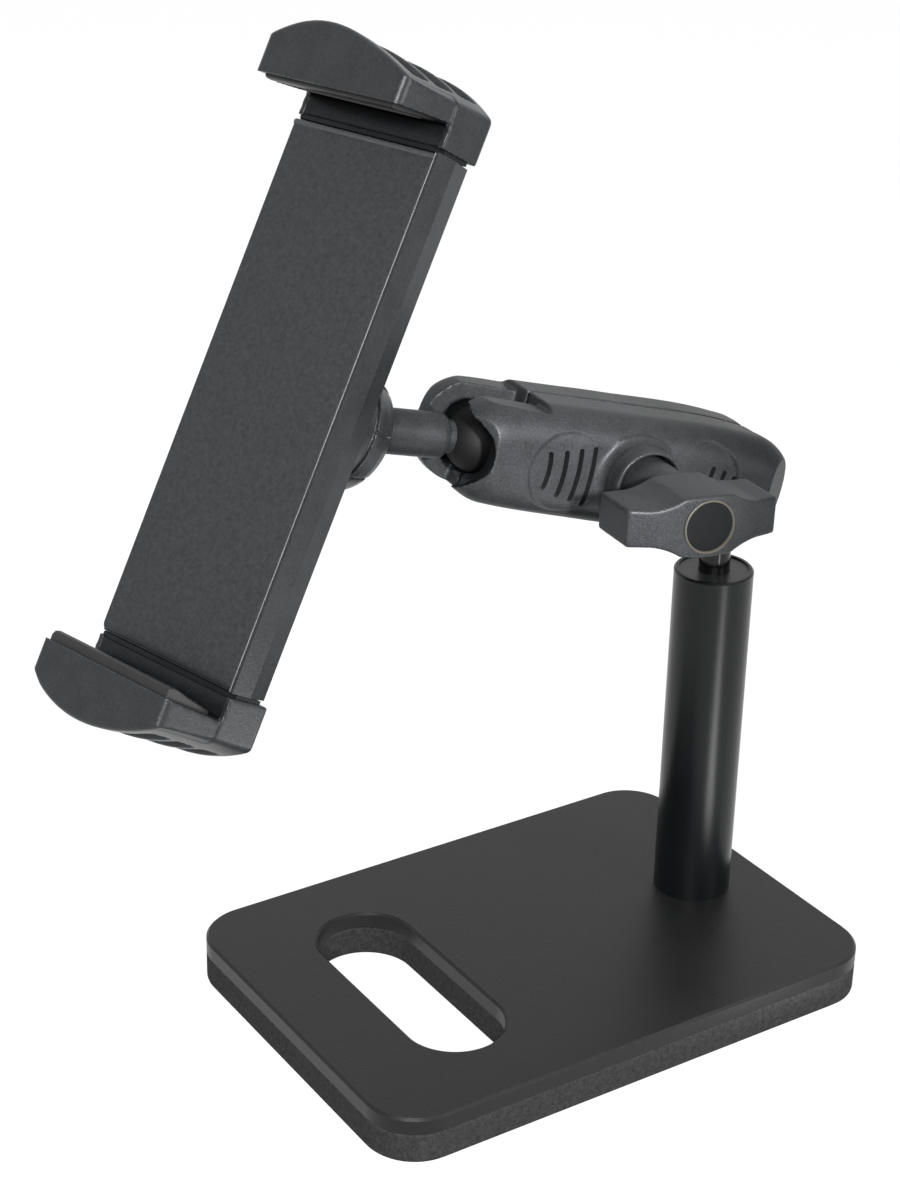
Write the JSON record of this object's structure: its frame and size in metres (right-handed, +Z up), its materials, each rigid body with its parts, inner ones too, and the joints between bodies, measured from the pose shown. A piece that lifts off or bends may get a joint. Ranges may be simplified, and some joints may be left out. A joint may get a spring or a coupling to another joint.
{
  "type": "tablet desk stand",
  "caption": "Weighted desk stand with a post, a clamped double ball arm and a sliding claw holder for a tablet or phone.",
  "frame": {"origin": "centre of the base's underside, where it stands on the desk", "axes": "+Z up, -Y towards the hand slot and the user, +X to the right as the user sees it"},
  "size_m": [0.1264, 0.2431, 0.3054],
  "materials": {
    "powder_coated_steel": "fine matte powder coat",
    "base_rubber": "matte foam rubber",
    "grip_rubber": "soft satin",
    "steel": "zinc plated",
    "blackened_steel": "gloss black",
    "plug_plastic": "satin",
    "arm_plastic": "fine texture",
    "holder_plastic": "satin",
    "face_leather": "grained",
    "cap_plastic": "matte",
    "brass": "machined"
  },
  "bodies": {
    "base": {"base_plate": "powder_coated_steel", "base_pad": "base_rubber", "post_tube": "powder_coated_steel", "post_lower_plug": "steel", "post_upper_plug": "plug_plastic", "post_washer": "steel", "post_bolt": "steel"},
    "lower_stud": {"lower_stud": "blackened_steel", "stud_clip": "steel"},
    "lower_ball": {"lower_ball": "blackened_steel"},
    "arm": {"arm_rear_shell": "arm_plastic", "clamp_bolt": "steel", "arm_spring": "steel"},
    "front_shell": {"arm_front_shell": "arm_plastic"},
    "knob": {"knob": "arm_plastic", "knob_insert": "brass", "knob_cap": "cap_plastic", "knob_washer": "blackened_steel"},
    "upper_ball": {"upper_ball": "blackened_steel"},
    "upper_stem": {"upper_stem": "arm_plastic"},
    "holder_ball": {"holder_ball": "blackened_steel"},
    "holder": {"holder_front": "holder_plastic", "holder_back": "holder_plastic", "holder_pad": "face_leather", "holder_screw_1": "steel", "holder_screw_2": "steel", "holder_screw_3": "steel", "holder_screw_4": "steel", "pinion_pin": "steel"},
    "ring_nut": {"ring_nut": "arm_plastic"},
    "pinion": {"pinion": "arm_plastic"},
    "upper_claw": {"upper_claw": "holder_plastic", "upper_slide": "arm_plastic", "upper_claw_pad": "grip_rubber"},
    "lower_claw": {"lower_claw": "holder_plastic", "lower_slide": "arm_plastic", "lower_claw_pad": "grip_rubber"}
  },
  "joints": [
    {"name": "post_swivel", "type": "hinge", "parent": "base", "child": "lower_stud", "pos_m": [0, 0.0643, 0.13], "axis": [0, 0, 1], "continuous": true},
    {"name": "side_tilt", "type": "hinge", "parent": "lower_stud", "child": "lower_ball", "pos_m": [0, 0.0643, 0.1622], "axis": [0.1707, 0.9853, 0], "range_deg": [-4.5, 11.5]},
    {"name": "arm_pitch", "type": "hinge", "parent": "lower_ball", "child": "arm", "pos_m": [0, 0.0643, 0.1622], "axis": [0.9833, -0.1703, 0.0641], "range_deg": [-70, 15]},
    {"name": "shell_slide", "type": "slide", "parent": "arm", "child": "front_shell", "axis": [0.9833, -0.1703, 0.0641], "range_m": [0, 0.0015]},
    {"name": "knob_turn", "type": "hinge", "parent": "front_shell", "child": "knob", "pos_m": [-0.00766, 0.02413, 0.173], "axis": [0.9833, -0.1703, 0.0641], "range_deg": [0, 432]},
    {"name": "upper_swing", "type": "hinge", "parent": "arm", "child": "upper_ball", "pos_m": [-0.01533, -0.01604, 0.18381], "axis": [-0.9833, 0.1703, -0.0641], "range_deg": [-20, 80]},
    {"name": "stem_spin", "type": "hinge", "parent": "upper_ball", "child": "upper_stem", "pos_m": [-0.01533, -0.01604, 0.18381], "axis": [-0.1803, -0.9593, 0.2174], "continuous": true},
    {"name": "holder_tilt", "type": "hinge", "parent": "upper_stem", "child": "holder_ball", "pos_m": [-0.0236, -0.06008, 0.19379], "axis": [-0.6676, 0.2817, 0.6892], "range_deg": [-56, 3]},
    {"name": "holder_spin", "type": "hinge", "parent": "holder_ball", "child": "holder", "pos_m": [-0.0236, -0.06008, 0.19379], "axis": [0.1608, -0.8493, 0.5028], "continuous": true},
    {"name": "nut_turn", "type": "hinge", "parent": "holder", "child": "ring_nut", "pos_m": [-0.0236, -0.06008, 0.19379], "axis": [-0.1608, 0.8493, -0.5028], "range_deg": [0, 90]},
    {"name": "upper_claw_slide", "type": "slide", "parent": "holder", "child": "upper_claw", "axis": [-0.1252, 0.4878, 0.8639], "range_m": [0, 0.036], "stiffness_N_per_m": 300, "springref_m": -0.03},
    {"name": "lower_claw_slide", "type": "slide", "parent": "holder", "child": "lower_claw", "axis": [0.1252, -0.4878, -0.8639], "range_m": [0, 0.036]},
    {"name": "pinion_spin", "type": "hinge", "parent": "holder", "child": "pinion", "pos_m": [-0.01901, -0.08437, 0.20817], "axis": [0.1608, -0.8493, 0.5028], "range_deg": [0, 344]}
  ],
  "couplings": [
    {"joint": "knob_turn", "follows": "shell_slide", "rad_per_m": 5026.5},
    {"joint": "lower_claw_slide", "follows": "upper_claw_slide", "ratio": 1},
    {"joint": "pinion_spin", "follows": "upper_claw_slide", "rad_per_m": 166.67}
  ]
}
